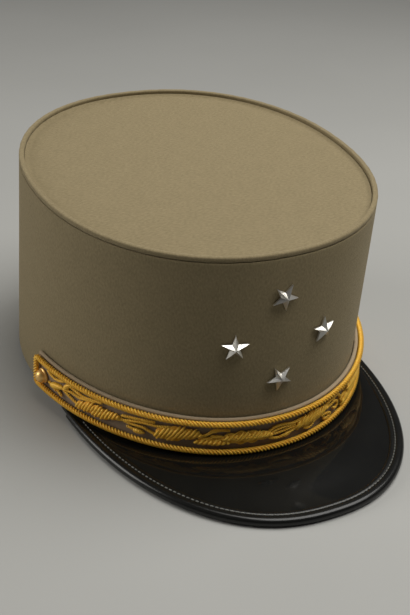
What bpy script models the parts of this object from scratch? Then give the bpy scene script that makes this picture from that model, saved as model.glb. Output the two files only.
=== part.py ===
"""Kepi cap: a stiff oval drum of tan cloth with a flat peak, an embroidered strap and four stars.

Metres, +Z up, the front towards -Y and the wearer's left towards +X. The cap stands on the back of
its base rim and on the edge of its peak. The origin is on that surface, midway between the back of
the base and the front of the peak.
"""
import math

import bmesh
import bpy
import numpy as np

# The gap that neighbouring pieces keep
GAP = 0.0003

# The drum: an oval foot, and a smaller oval head that lies further forward and slopes to the front
BASE_LENGTH = 0.208
BASE_WIDTH = 0.168
BASE_ROUNDNESS = 2.04
TOP_SHORTER = 0.023
TOP_NARROWER = 0.001
TOP_LENGTH = BASE_LENGTH - TOP_SHORTER
TOP_WIDTH = BASE_WIDTH - TOP_NARROWER
TOP_ROUNDNESS = 2.15
TOP_FORWARD = 0.0123
BACK_HEIGHT = 0.1165
FRONT_HEIGHT = 0.1041
FRONT_LIFT = 0.0048
FRONT_DIP = 0.0012
WALL = 0.0025

# The top: a disc sunk inside a rolled piping
RIM_PIPING_DIAMETER = 0.0026
TOP_SINK = 0.0018
TOP_THICKNESS = 0.002

# The strap: a cloth band whose lower edge follows the base in front and rises towards its ends.
# The upper run of its gold cord stands above the band's edge, in front of the piping
STRAP_LENGTH = 0.268
STRAP_HEIGHT = 0.0163
STRAP_THICKNESS = 0.002
STRAP_RISE = 0.0042
STRAP_PIPING_DIAMETER = 0.002
CORD_DIAMETER = 0.003
CORD_OVERHANG = 0.002
CORD_BEND = 0.002

# The embroidery: a padded relief whose outline swells at each leaf
LEAF_PITCH = 0.0155
LEAF_HEIGHT = 0.0105
STEM_HEIGHT = 0.004
LEAF_THICKNESS = 0.0016
LEAF_EDGE = 0.0005

# The buttons, one at each end of the strap
BUTTON_DIAMETER = 0.0078
BUTTON_HEIGHT = 0.0044
BUTTON_DROP = 0.0018

# The peak: a crescent whose rim is a rounded oval that springs from the side of the base
PEAK_PROJECTION = 0.055
PEAK_ROOT = 0.025
PEAK_TUCK = 0.0023
PEAK_ROUNDNESS = 2.29
PEAK_THICKNESS = 0.002
PEAK_DOME = 0.002
PEAK_END_WIDTH = 0.003
BINDING_WIDTH = 0.007
BINDING_THICKNESS = 0.0042
BINDING_WALL = 0.0012

# The stars, on the front of the drum
STAR_DIAMETER = 0.0132
STAR_INNER_DIAMETER = 0.005
STAR_EDGE = 0.0008
STAR_RELIEF = 0.0033
STAR_SPREAD = 0.0224
STAR_HIGH = 0.0824
STAR_MIDDLE = 0.0598
STAR_LOW = 0.0405

# Columns: name, share of the spread to the wearer's left, height, turn anticlockwise in degrees
STARS = (
    ("star_top", -0.04, STAR_HIGH, 187),
    ("star_bottom", -0.01, STAR_LOW, 171),
    ("star_left", 1, STAR_MIDDLE, 0),
    ("star_right", -1, STAR_MIDDLE, 0),
)

# Columns: share of the button's radius, share of its height
BUTTON_PROFILE = (
    (1.0, 0.0),
    (1.0, 0.18),
    (0.9, 0.24),
    (0.84, 0.5),
    (0.62, 0.8),
    (0.32, 0.96),
    (0.08, 1.0),
)

# Facets of the solids
ROUND_STATIONS = 72
STRAP_STATIONS = 33
LEAF_STATIONS = 73
PEAK_STATIONS = 41
BINDING_STATIONS = 45
PIPE_SIDES = 8
BUTTON_SIDES = 16
PEAK_SHARES = (0.0, 0.07, 0.2, 0.35, 0.5, 0.65, 0.8, 0.9, 1.0)
SAMPLES = 1441

# Colours: red, green and blue, then roughness and metallic value
TAN_CLOTH = ((0.36, 0.29, 0.18), 0.9, 0.0)
GOLD_THREAD = ((0.62, 0.36, 0.07), 0.35, 0.9)
COPPER_GOLD = ((0.70, 0.38, 0.14), 0.25, 1.0)
PATENT_LEATHER = ((0.008, 0.008, 0.009), 0.12, 0.0)
SILVER = ((0.62, 0.63, 0.65), 0.22, 1.0)


def clear_scene():
    """Remove whatever the open file holds."""
    for thing in list(bpy.data.objects):
        bpy.data.objects.remove(thing, do_unlink=True)


def material(name, finish):
    """Return a material of one colour, roughness and metallic value."""
    colour, roughness, metallic = finish
    made = bpy.data.materials.new(name)
    made.use_nodes = True
    shader = made.node_tree.nodes["Principled BSDF"]
    shader.inputs["Base Color"].default_value = (*colour, 1.0)
    shader.inputs["Roughness"].default_value = roughness
    shader.inputs["Metallic"].default_value = metallic
    return made


def place(points):
    """Turn rows of forward, left and up into world X, Y and Z."""
    points = np.asarray(points, dtype=float)
    shift = PEAK_PROJECTION / 2
    return np.stack([points[..., 1], shift - points[..., 0], points[..., 2]], axis=-1)


def add_solid(name, points, faces, finish, sharp_degrees=35):
    """Make one object from points and faces, with its faces turned outwards."""
    mesh = bpy.data.meshes.new(name)
    mesh.from_pydata(place(points).tolist(), [], faces)
    shell = bmesh.new()
    shell.from_mesh(mesh)
    bmesh.ops.recalc_face_normals(shell, faces=shell.faces)
    shell.to_mesh(mesh)
    shell.free()
    mesh.materials.append(finish)
    mesh.shade_smooth()
    mesh.set_sharp_from_angle(angle=math.radians(sharp_degrees))
    made = bpy.data.objects.new(name, mesh)
    bpy.context.scene.collection.objects.link(made)
    return made


def skin(name, sections, finish, closed=False, sharp_degrees=35):
    """Make a solid from a row of sections, each a closed outline of as many points.

    sections has the shape stations, points, 3. A closed row joins its last section to its first,
    and an open one is capped at both ends.
    """
    stations, count = sections.shape[:2]
    faces = []
    for station in range(stations if closed else stations - 1):
        start = station * count
        follow = (station + 1) % stations * count
        for point in range(count):
            after = (point + 1) % count
            faces.append((start + point, start + after, follow + after, follow + point))
    if not closed:
        faces.append(tuple(range(count)))
        faces.append(tuple(range((stations - 1) * count, stations * count)))
    return add_solid(name, sections.reshape(-1, 3), faces, finish, sharp_degrees)


def power(value, exponent):
    """Raise the size of a signed value to a power and keep its sign."""
    return np.sign(value) * np.abs(value) ** exponent


def oval(length, width, roundness, angles):
    """Forward and left places on an oval: an ellipse with roundness as its exponent."""
    forward = length / 2 * power(np.cos(angles), 2 / roundness)
    left = width / 2 * power(np.sin(angles), 2 / roundness)
    return np.stack([forward, left], axis=-1)


def outward(curve, angles):
    """Unit normals, pointing outwards, of a flat curve that is a function of the angle."""
    step = 1e-4
    along = curve(angles + step) - curve(angles - step)
    normal = np.stack([along[..., 1], -along[..., 0]], axis=-1)
    return normal / np.linalg.norm(normal, axis=-1, keepdims=True)


def base_height(forward):
    """Height of the base edge: it rises evenly from the back, and bends down a little in front."""
    ahead = np.clip(forward / (BASE_LENGTH / 2), 0, 1)
    return FRONT_LIFT * (forward / BASE_LENGTH + 0.5) - FRONT_DIP * ahead ** 3


def top_height(forward):
    """Height of the crown's crest: it falls evenly from the back to the front."""
    share = (forward - TOP_FORWARD) / TOP_LENGTH + 0.5
    return BACK_HEIGHT + (FRONT_HEIGHT - BACK_HEIGHT) * share


def foot_and_head(angles):
    """The lower and upper ends of the straight lines that the drum's outside is made of."""
    low = oval(BASE_LENGTH, BASE_WIDTH, BASE_ROUNDNESS, angles)
    high = oval(TOP_LENGTH, TOP_WIDTH, TOP_ROUNDNESS, angles) + np.array([TOP_FORWARD, 0.0])
    foot = np.concatenate([low, base_height(low[..., :1])], axis=-1)
    head = np.concatenate([high, top_height(high[..., :1])], axis=-1)
    return foot, head


def on_drum(angles, rise, out):
    """Points on the drum, a rise above its base edge and a distance outside its outer face."""
    angles, rise, out = np.broadcast_arrays(angles, rise, out)

    def flat(at):
        foot, head = foot_and_head(at)
        share = rise / (head[..., 2] - foot[..., 2])
        return (foot + share[..., None] * (head - foot))[..., :2]

    foot, _ = foot_and_head(angles)
    plan = flat(angles) + outward(flat, angles) * out[..., None]
    return np.concatenate([plan, (foot[..., 2] + rise)[..., None]], axis=-1)


def drum_rise(angles):
    """Height of the drum from its base edge to its crest at each angle."""
    foot, head = foot_and_head(angles)
    return head[..., 2] - foot[..., 2]


def round_angles():
    """Angles of the stations right round the drum, from the front to the wearer's left."""
    return np.arange(ROUND_STATIONS) * 2 * math.pi / ROUND_STATIONS


def strap_angles(lengths):
    """Angles at which the base edge reaches the given lengths from the front."""
    quarter = np.linspace(0, math.pi, SAMPLES)
    edge = oval(BASE_LENGTH, BASE_WIDTH, BASE_ROUNDNESS, quarter)
    run = np.concatenate([[0.0], np.cumsum(np.linalg.norm(np.diff(edge, axis=0), axis=1))])
    return np.sign(lengths) * np.interp(np.abs(lengths), run, quarter)


def on_strap(lengths, up, out):
    """Points of the strap: length from the front, height above its lower edge, distance outside."""
    angles = strap_angles(np.asarray(lengths, dtype=float))
    return on_drum(angles, STRAP_RISE * np.sin(angles) ** 2 + up, out)


def circle(sides):
    """Cosines and sines round a circle, turned by half a side."""
    turn = (np.arange(sides) + 0.5) * 2 * math.pi / sides
    return np.cos(turn), np.sin(turn)


def crown_wall(cloth):
    """The drum's wall, from the base edge to just under the rim piping."""
    angles = round_angles()[:, None]
    top = drum_rise(angles) - RIM_PIPING_DIAMETER - GAP
    rise = np.concatenate([0 * top, top, top, 0 * top], axis=1)
    return skin("crown_wall", on_drum(angles, rise, np.array([0, 0, -WALL, -WALL])), cloth, closed=True)


def rim_piping(cloth):
    """The rolled piping on the wall's upper edge."""
    angles = round_angles()[:, None]
    radius = RIM_PIPING_DIAMETER / 2
    across, up = circle(PIPE_SIDES)
    rise = drum_rise(angles) - radius + radius * up
    return skin("rim_piping", on_drum(angles, rise, radius * across - radius), cloth, closed=True)


def crown_top(cloth):
    """The disc inside the wall, sunk below the crest of the piping."""
    angles = round_angles()
    inset = -WALL - GAP
    upper = on_drum(angles, drum_rise(angles) - TOP_SINK - RIM_PIPING_DIAMETER / 2, inset)
    lower = on_drum(angles, drum_rise(angles) - TOP_SINK - RIM_PIPING_DIAMETER / 2 - TOP_THICKNESS, inset)
    return skin("crown_top", np.stack([lower, upper]), cloth)


def strap(cloth):
    """The cloth band on the foot of the drum."""
    half = STRAP_LENGTH / 2
    lengths = np.linspace(-half, half, STRAP_STATIONS)[:, None]
    up = np.array([0, 0, STRAP_HEIGHT, STRAP_HEIGHT])
    out = GAP + np.array([0, STRAP_THICKNESS, STRAP_THICKNESS, 0])
    return skin("strap", on_strap(lengths, up, out), cloth)


def strap_piping(cloth):
    """The thin rolled piping above the strap's upper edge."""
    half = STRAP_LENGTH / 2
    radius = STRAP_PIPING_DIAMETER / 2
    across, up = circle(PIPE_SIDES)
    lengths = np.linspace(-half, half, STRAP_STATIONS)[:, None]
    height = STRAP_HEIGHT + GAP + radius + radius * up
    return skin("strap_piping", on_strap(lengths, height, GAP + radius + radius * across), cloth)


def border_height():
    """Height of the cord's border: from the strap's lower edge to a little above its upper one."""
    return STRAP_HEIGHT + CORD_OVERHANG


def face_distance():
    """Distance outside the drum of what lies on the strap, clear of the strap and of its piping."""
    return GAP + max(STRAP_THICKNESS, STRAP_PIPING_DIAMETER) + GAP


def border_route():
    """Route of the border cord as length from the front and height above the strap's lower edge.

    It runs along the lower edge, turns up round one end, comes back along the upper edge and turns
    down round the other end, with tight quarter circles at its corners.
    """
    radius = CORD_DIAMETER / 2
    bend = CORD_BEND
    end = STRAP_LENGTH / 2 - radius
    low, high = radius, border_height() - radius
    run = np.linspace(-end + bend, end - bend, STRAP_STATIONS)
    turn = np.radians([22.5, 45.0, 67.5])
    corner_low = np.stack([end - bend + bend * np.sin(turn), low + bend - bend * np.cos(turn)], axis=-1)
    corner_high = np.stack([end - bend + bend * np.cos(turn), high - bend + bend * np.sin(turn)], axis=-1)
    side = np.array([[end, low + bend], [end, (low + high) / 2], [end, high - bend]])
    right = np.concatenate([corner_low, side, corner_high])
    lower = np.stack([run, np.full_like(run, low)], axis=-1)
    upper = np.stack([run[::-1], np.full_like(run, high)], axis=-1)
    return np.concatenate([lower, right, upper, right[::-1] * np.array([-1, 1])])


def border_cord(gold):
    """The gold cord round the strap's edge: a round tube along a closed route on the strap's face."""
    route = border_route()
    radius = CORD_DIAMETER / 2
    along = np.roll(route, -1, axis=0) - np.roll(route, 1, axis=0)
    along /= np.linalg.norm(along, axis=1, keepdims=True)
    sideways = np.stack([-along[:, 1], along[:, 0]], axis=-1)
    across, lift = circle(PIPE_SIDES)
    spots = route[:, None, :] + radius * across[:, None] * sideways[:, None, :]
    out = face_distance() + radius + radius * lift
    points = on_strap(spots[..., 0], spots[..., 1], out)
    return skin("border_cord", points, gold, closed=True)


def leaf_half_height(lengths):
    """Half the relief's height: it swells from the stem to the leaf once in each pitch."""
    swell = np.abs(np.sin(math.pi * lengths / LEAF_PITCH))
    return (STEM_HEIGHT + (LEAF_HEIGHT - STEM_HEIGHT) * swell) / 2


def button_place():
    """Length from the front at which a button sits: just inside the end of the border cord."""
    return STRAP_LENGTH / 2 - CORD_DIAMETER - GAP - BUTTON_DIAMETER / 2


def oak_embroidery(gold):
    """The relief along the middle of the strap, from button to button."""
    end = button_place() - BUTTON_DIAMETER / 2 - GAP
    lengths = np.linspace(-end, end, LEAF_STATIONS)[:, None]
    half = leaf_half_height(lengths)
    up = border_height() / 2 + half * np.array([-1, -1, 0, 1, 1])
    out = face_distance() + np.array([0, LEAF_EDGE, LEAF_THICKNESS, LEAF_EDGE, 0])
    return skin("oak_embroidery", on_strap(lengths, up, out), gold)


def drum_frame(angle, rise, out):
    """A point outside the drum, with its directions to the left, up the wall and outwards."""
    spot = on_drum(angle, rise, out)
    left = on_drum(angle + 1e-3, rise, out) - on_drum(angle - 1e-3, rise, out)
    up = on_drum(angle, rise + 1e-3, out) - on_drum(angle, rise - 1e-3, out)
    left /= np.linalg.norm(left)
    up -= left * np.dot(up, left)
    up /= np.linalg.norm(up)
    face = np.cross(left, up)
    return spot, left, up, face


def button(name, side, gold):
    """A domed button at one end of the strap, a little below its middle, square to the wall."""
    angle = float(strap_angles(np.array(side * button_place())))
    rise = STRAP_RISE * math.sin(angle) ** 2 + border_height() / 2 - BUTTON_DROP
    spot, left, up, face = drum_frame(angle, rise, face_distance())
    across, lift = circle(BUTTON_SIDES)
    disc = across[:, None] * left + lift[:, None] * up
    radii = BUTTON_DIAMETER / 2 * np.array([row[0] for row in BUTTON_PROFILE])
    heights = BUTTON_HEIGHT * np.array([row[1] for row in BUTTON_PROFILE])
    sections = spot + radii[:, None, None] * disc + heights[:, None, None] * face
    return skin(name, sections, gold)


def rim_plan(angles, inset):
    """The peak's rim seen from above, moved inwards by the inset."""
    half_width = BASE_WIDTH / 2 - PEAK_TUCK
    reach = BASE_LENGTH / 2 + PEAK_PROJECTION - PEAK_ROOT

    def flat(at):
        return oval(2 * reach, 2 * half_width, PEAK_ROUNDNESS, at) + np.array([PEAK_ROOT, 0.0])

    return flat(angles) - outward(flat, angles) * np.asarray(inset)[..., None]


def distance_to(ring, plan):
    """Distance from points of a plan to the nearest point of a finely sampled curve."""
    return np.linalg.norm(plan[..., None, :] - ring, axis=-1).min(axis=-1)


def clear_of_base(plan):
    """Distance from points of a plan to the base oval, counted positive outside it."""
    ring = oval(BASE_LENGTH, BASE_WIDTH, BASE_ROUNDNESS, np.linspace(0, 2 * math.pi, SAMPLES))
    half = np.array([BASE_LENGTH, BASE_WIDTH]) / 2
    level = (np.abs(plan / half) ** BASE_ROUNDNESS).sum(axis=-1)
    return np.where(level > 1, 1, -1) * distance_to(ring, plan)


def clear_of_rim(plan):
    """Distance from points of a plan to the peak's rim."""
    angles = np.linspace(-math.pi / 2, math.pi / 2, SAMPLES)[1:-1]
    return distance_to(rim_plan(angles, 0 * angles), plan)


def rim_angle_at(distance):
    """Angle at which the rim has come within a distance of the base oval, near the peak's end."""
    angles = np.linspace(math.radians(30), math.radians(89.5), SAMPLES)
    away = clear_of_base(rim_plan(angles, 0 * angles))
    return float(np.interp(distance, away[::-1], angles[::-1]))


def base_angle_near(spot):
    """Angle of the base oval's point nearest to a spot on the wearer's left."""
    angles = np.linspace(0, math.pi / 2, SAMPLES)
    ring = oval(BASE_LENGTH, BASE_WIDTH, BASE_ROUNDNESS, angles)
    return float(angles[np.linalg.norm(ring - spot, axis=1).argmin()])


def peak_top(plan):
    """Height of the peak's upper face.

    It is a gap below the wall where the wall stands on it, level inside the binding, and a blend of
    the two with a slight dome in between.
    """
    seat = base_height(plan[..., 0]) - GAP
    level = np.minimum((BINDING_THICKNESS + PEAK_THICKNESS) / 2, seat)
    near, far = clear_of_base(plan) - GAP, clear_of_rim(plan) - BINDING_WIDTH - GAP
    room = near + far
    share = np.clip(near / np.maximum(room, GAP), 0, 1)
    dome = PEAK_DOME * np.clip(room / PEAK_PROJECTION, 0, 1) * np.sin(math.pi * share) ** 2
    return seat + share * (level - seat) + dome


def peak(leather):
    """The crescent plate, from under the wall out to the slot in the binding."""
    edge_inset = BINDING_WALL + GAP
    end = rim_angle_at(PEAK_END_WIDTH + edge_inset - WALL)
    base_end = base_angle_near(rim_plan(np.array([end]), np.array([edge_inset]))[0])
    turn = np.linspace(-1, 1, PEAK_STATIONS)

    def flat(at):
        return oval(BASE_LENGTH, BASE_WIDTH, BASE_ROUNDNESS, at)

    inner = flat(turn * base_end) - WALL * outward(flat, turn * base_end)
    edge = rim_plan(turn * end, np.full(PEAK_STATIONS, edge_inset))
    shares = np.array(PEAK_SHARES)[:, None]
    plan = inner[:, None, :] + shares * (edge - inner)[:, None, :]
    upper = np.concatenate([plan, peak_top(plan)[..., None]], axis=-1)
    lower = upper[:, ::-1] - np.array([0, 0, PEAK_THICKNESS])
    return skin("peak", np.concatenate([upper, lower], axis=1), leather)


def peak_binding(leather):
    """The bound edge: a U-shaped section that wraps the peak's edge and is round outside."""
    end = rim_angle_at(BINDING_THICKNESS + GAP)
    angles = np.linspace(-end, end, BINDING_STATIONS)
    away = clear_of_base(rim_plan(angles, 0 * angles))
    width = np.minimum(BINDING_WIDTH, away - GAP)[:, None]
    radius = BINDING_THICKNESS / 2
    slot = PEAK_THICKNESS / 2 + GAP
    corner = (radius - slot) / 2
    bend = np.radians([-90, -60, -30, 0, 30, 60, 90])
    round_in, round_up = radius - radius * np.cos(bend), radius + radius * np.sin(bend)
    one = np.ones_like(width)
    inset = [one * round_in, width - corner, width, width, one * BINDING_WALL, one * BINDING_WALL,
             width, width, width - corner]
    up = np.concatenate([round_up, [2 * radius, 2 * radius - corner, radius + slot, radius + slot,
                                    radius - slot, radius - slot, corner, 0]])
    inset = np.concatenate(inset, axis=1)
    plan = rim_plan(angles[:, None] + 0 * inset, inset)
    sections = np.concatenate([plan, np.broadcast_to(up, inset.shape)[..., None]], axis=-1)
    return skin("peak_binding", sections, leather)


def star(name, spread, height, turn, silver):
    """A five-pointed star with a sharp ridge down each arm, square to the wall."""
    angles = np.linspace(-math.pi / 3, math.pi / 3, SAMPLES)
    foot, _ = foot_and_head(angles)
    ring = on_drum(angles, height - foot[:, 2], 0.0)
    angle = float(np.interp(spread * STAR_SPREAD, ring[:, 1], angles))
    rise = height - float(foot_and_head(np.array(angle))[0][2])
    spot, left, up, face = drum_frame(angle, rise, GAP)
    around = math.radians(turn) + np.arange(10) * math.pi / 5
    radii = np.where(np.arange(10) % 2 == 0, STAR_DIAMETER, STAR_INNER_DIAMETER) / 2
    outline = radii[:, None] * (np.cos(around)[:, None] * up - np.sin(around)[:, None] * left)
    points = np.concatenate([spot + outline, spot + outline + STAR_EDGE * face, [spot + STAR_RELIEF * face]])
    faces = [tuple(range(10))]
    for corner in range(10):
        after = (corner + 1) % 10
        faces.append((corner, after, 10 + after, 10 + corner))
        faces.append((10 + corner, 10 + after, 20))
    return add_solid(name, points, faces, silver, sharp_degrees=5)


def build():
    """Make every piece of the cap."""
    clear_scene()
    cloth = material("tan_cloth", TAN_CLOTH)
    gold = material("gold_thread", GOLD_THREAD)
    copper = material("copper_gold", COPPER_GOLD)
    leather = material("patent_leather", PATENT_LEATHER)
    silver = material("silver", SILVER)
    crown_wall(cloth)
    crown_top(cloth)
    rim_piping(cloth)
    strap(cloth)
    strap_piping(cloth)
    border_cord(gold)
    oak_embroidery(gold)
    button("button_left", 1, copper)
    button("button_right", -1, copper)
    peak(leather)
    peak_binding(leather)
    for name, spread, height, turn in STARS:
        star(name, spread, height, turn, silver)


build()
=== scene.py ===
# %% [markdown]
# A kepi cap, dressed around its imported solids.
#
# The solids fix every size and place. This lesson gives each of them its finished surface: twill on the
# drum, gold wire on the strap, varnish on the peak and polish on the stars. Each new piece is worked out
# with numpy as a function of two parameters, in metres.

# %% Load the frame
import math

import bmesh
import bpy
import numpy as np
from mathutils import Matrix


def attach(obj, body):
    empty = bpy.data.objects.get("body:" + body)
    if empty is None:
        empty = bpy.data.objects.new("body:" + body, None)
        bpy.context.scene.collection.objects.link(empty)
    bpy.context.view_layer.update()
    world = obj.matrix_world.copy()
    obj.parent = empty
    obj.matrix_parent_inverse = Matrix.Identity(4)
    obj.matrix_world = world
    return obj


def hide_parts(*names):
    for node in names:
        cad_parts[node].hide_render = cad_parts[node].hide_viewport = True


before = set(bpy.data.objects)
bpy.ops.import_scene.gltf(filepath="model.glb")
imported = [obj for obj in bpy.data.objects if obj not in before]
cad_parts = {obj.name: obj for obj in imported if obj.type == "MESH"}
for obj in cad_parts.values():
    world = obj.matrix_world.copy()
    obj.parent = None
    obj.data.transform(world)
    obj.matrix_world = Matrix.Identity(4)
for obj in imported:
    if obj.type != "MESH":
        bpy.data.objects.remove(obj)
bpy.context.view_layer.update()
MM = 0.001
print("solids:", len(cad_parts))

# %% [markdown]
# Four small helpers serve everything below: two handle directions, and two make and place objects.

# %% Objects and directions


def unit(vectors):
    """Vectors scaled to a length of one."""
    return vectors / np.linalg.norm(vectors, axis=-1, keepdims=True)


def left_of(ahead):
    """Flat directions turned a quarter circle to the left."""
    return np.stack([-ahead[..., 1], ahead[..., 0]], axis=-1)


def add_object(name, data):
    """Wrap data in an object and put it in the scene."""
    made = bpy.data.objects.new(name, data)
    bpy.context.scene.collection.objects.link(made)
    return made


def standing(spot, right, up, back):
    """Matrix that turns X, Y and Z into three directions and moves the origin to a spot."""
    matrix = np.eye(4)
    matrix[:3, :3] = np.stack([right, up, back], axis=1)
    matrix[:3, 3] = spot
    return Matrix(matrix.tolist())


print("left of ahead:", left_of(np.array([1.0, 0.0])))

# %% [markdown]
# The camera comes first, because everything is judged through it. It looks down at the cap from the
# front and a little from the wearer's right, and it is turned slightly about its own axis.

# %% Camera
PICTURE_WIDTH = 410
PICTURE_HEIGHT = 615
FILM_LONG_SIDE = 36.0
FOCAL_PIXELS = 1100.0
CAMERA_DISTANCE = 0.5725
CAMERA_AZIMUTH = 27.30
CAMERA_ELEVATION = 29.35
CAMERA_ROLL = 2.55
AIM_HEIGHT = 0.055
AIM_COLUMN = 182.85
AIM_ROW = 252.46
PEAK_PROJECTION = 0.055
BASE_CENTRE_Y = PEAK_PROJECTION / 2


def camera_axes():
    """Right, up and back of the camera: a turn about Z, a tilt down, then a roll about the view."""
    azimuth, elevation, roll = np.radians([CAMERA_AZIMUTH, CAMERA_ELEVATION, CAMERA_ROLL])
    level = np.cos(elevation)
    back = np.array([-np.sin(azimuth) * level, -np.cos(azimuth) * level, np.sin(elevation)])
    right = np.array([np.cos(azimuth), -np.sin(azimuth), 0.0])
    up = np.cross(back, right)
    turned = np.cos(roll) * right + np.sin(roll) * up
    return turned, np.cos(roll) * up - np.sin(roll) * right, back


def add_camera():
    """Place the camera so that the drum's middle falls on the aim column and row of the picture."""
    right, up, back = camera_axes()
    metres_a_pixel = CAMERA_DISTANCE / FOCAL_PIXELS
    spot = np.array([0.0, BASE_CENTRE_Y, AIM_HEIGHT]) + back * CAMERA_DISTANCE
    spot -= right * (AIM_COLUMN - PICTURE_WIDTH / 2) * metres_a_pixel
    spot += up * (AIM_ROW - PICTURE_HEIGHT / 2) * metres_a_pixel
    lens = bpy.data.cameras.new("camera")
    lens.lens = FOCAL_PIXELS * FILM_LONG_SIDE / PICTURE_HEIGHT
    lens.clip_start = 0.01
    bpy.context.scene.camera = add_object("camera", lens)
    bpy.context.scene.camera.matrix_world = standing(spot, right, up, back)
    print("camera lens", round(lens.lens, 2), "mm at", spot.round(3))


add_camera()

# %% [markdown]
# Plain studio light: one large soft box above the cap, a little to its front and its left, and a
# smaller one behind its right side. The drum darkens between the two, where only the room's light
# reaches it. The floor is pale and plain.

# %% Light and floor
bpy.context.scene.view_settings.view_transform = "Standard"
FLOOR_SIZE = 8.0
ROOM_LIGHT = 0.06
ROOM_COLOUR = (1.0, 0.98, 0.95, 1.0)
STEEPEST = 0.9

# Columns: name, place, aim, size, power in watts, colour; lengths in metres
SOFT_BOXES = (
    ("light_above", (0.34, -0.09, 0.92), (0.0, 0.0, 0.06), (0.85, 0.85), 11.6, (1.0, 0.985, 0.95)),
    ("light_behind", (-1.0, 0.45, 0.52), (0.0, 0.0, 0.05), (0.6, 0.7), 6.6, (1.0, 0.98, 0.94)),
)


def add_soft_box(name, spot, target, size, watts, colour):
    """Make one rectangular lamp at a spot, with its -Z pointing at the target."""
    lamp = bpy.data.lights.new(name, "AREA")
    lamp.shape = "RECTANGLE"
    lamp.size, lamp.size_y = size
    lamp.energy = watts
    lamp.color = colour
    back = unit(np.subtract(spot, target))
    right = unit(np.cross([0.0, 1.0, 0.0] if abs(back[2]) > STEEPEST else [0.0, 0.0, 1.0], back))
    add_object(name, lamp).matrix_world = standing(spot, right, np.cross(back, right), back)


for row in SOFT_BOXES:
    add_soft_box(*row)

room = bpy.data.worlds.new("room")
room.use_nodes = True
room.node_tree.nodes["Background"].inputs["Color"].default_value = ROOM_COLOUR
room.node_tree.nodes["Background"].inputs["Strength"].default_value = ROOM_LIGHT
bpy.context.scene.world = room
print("soft boxes:", len(SOFT_BOXES))

# %% [markdown]
# Materials are built from small groups of nodes. These helpers add a node, mix values, colour a finish
# and turn a height into a bump, so that each finish below reads as a short recipe. The wave node
# multiplies its coordinate by a factor of its own, so the pitch is worked out from that.

# %% Node helpers
WAVE_NODE_FACTOR = 20


def new_finish(name, roughness, metallic=0.0):
    """Start a material and return it with its node tree and its main shader."""
    made = bpy.data.materials.new(name)
    made.use_nodes = True
    shader = made.node_tree.nodes["Principled BSDF"]
    shader.inputs["Roughness"].default_value = roughness
    shader.inputs["Metallic"].default_value = metallic
    return made, made.node_tree, shader


def add_node(tree, kind, settings=(), values=()):
    """Add a node, set its properties and the values of its named inputs."""
    node = tree.nodes.new(kind)
    for key, value in dict(settings).items():
        setattr(node, key, value)
    for key, value in dict(values).items():
        node.inputs[key].default_value = value
    return node


def mapped(tree, source, turn_degrees=0.0, scale=(1.0, 1.0, 1.0)):
    """Turn and scale a coordinate about Z."""
    values = {"Rotation": (0.0, 0.0, math.radians(turn_degrees)), "Scale": scale}
    node = add_node(tree, "ShaderNodeMapping", values=values)
    tree.links.new(source, node.inputs["Vector"])
    return node.outputs["Vector"]


def waves(tree, source, pitch, distortion=0.0, detail_scale=1.0):
    """Bands across X, one every pitch, from 0 in the grooves to 1 on the ridges."""
    settings = {"wave_type": "BANDS", "bands_direction": "X", "wave_profile": "SIN"}
    scale = 2 * math.pi / WAVE_NODE_FACTOR / pitch
    values = {"Scale": scale, "Distortion": distortion, "Detail Scale": detail_scale}
    node = add_node(tree, "ShaderNodeTexWave", settings, values)
    tree.links.new(source, node.inputs["Vector"])
    return node.outputs["Fac"]


def mottle(tree, source, size, detail=2.0):
    """Soft random patches of about the given size."""
    node = add_node(tree, "ShaderNodeTexNoise", values={"Scale": 1 / size, "Detail": detail})
    tree.links.new(source, node.inputs["Vector"])
    return node.outputs["Fac"]


def paint(tree, shader, factor, low, high):
    """Colour a finish between two colours, as a factor goes from a quarter to three quarters."""
    ramp = add_node(tree, "ShaderNodeValToRGB")
    for stop, position, colour in zip(ramp.color_ramp.elements, (0.25, 0.75), (low, high)):
        stop.position = position
        stop.color = (*colour, 1.0)
    tree.links.new(factor, ramp.inputs["Fac"])
    tree.links.new(ramp.outputs["Color"], shader.inputs["Base Color"])


def mixture(tree, *parts):
    """Weighted sum of values: each part is a value and its weight."""
    total = None
    for value, weight in parts:
        node = add_node(tree, "ShaderNodeMath", {"operation": "MULTIPLY_ADD"})
        tree.links.new(value, node.inputs[0])
        node.inputs[1].default_value = weight
        node.inputs[2].default_value = 0.0
        if total is not None:
            tree.links.new(total, node.inputs[2])
        total = node.outputs["Value"]
    return total


def bump(tree, shader, height, distance, strength):
    """Raise the surface by a height map, and return the bumped normal."""
    node = add_node(tree, "ShaderNodeBump", values={"Distance": distance, "Strength": strength})
    tree.links.new(height, node.inputs["Height"])
    tree.links.new(node.outputs["Normal"], shader.inputs["Normal"])
    return node.outputs["Normal"]


def uv_metres(tree):
    """The piece's own coordinates, which count metres along and across its surface."""
    return add_node(tree, "ShaderNodeUVMap", {"uv_map": "metres"}).outputs["UV"]


def object_place(tree):
    """The place in the object, in metres."""
    return add_node(tree, "ShaderNodeTexCoord").outputs["Object"]


# %% [markdown]
# The drum, the top, the strap and both pipings are one cloth: a fine, hard-pressed woollen twill. Its
# ribs climb at a steep angle and stand half a millimetre apart. A very faint mottling keeps it from
# looking like paint, and a little sheen lifts it where the light grazes. The strap's copy is painted
# lighter, a purplish brown with painted light against the shadow of its gold cord, and the strap
# piping's copy is lighter still, a painted highlight for the light that its rounded top catches.

# %% Twill
TWILL_PITCH = 0.55 * MM
TWILL_ANGLE = 58.0
YARN_PITCH = 0.38 * MM
TWILL_DEPTH = 0.09 * MM
YARN_CROSSING = 80.0
YARN_SHARE = 0.35
PATCH_SIZE = 9 * MM
FIBRE_SIZE = 0.9 * MM
SHEEN_TINT = (0.95, 0.86, 0.66, 1.0)
TAN_DARK = (0.160, 0.125, 0.066)
TAN_LIGHT = (0.280, 0.225, 0.126)
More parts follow.
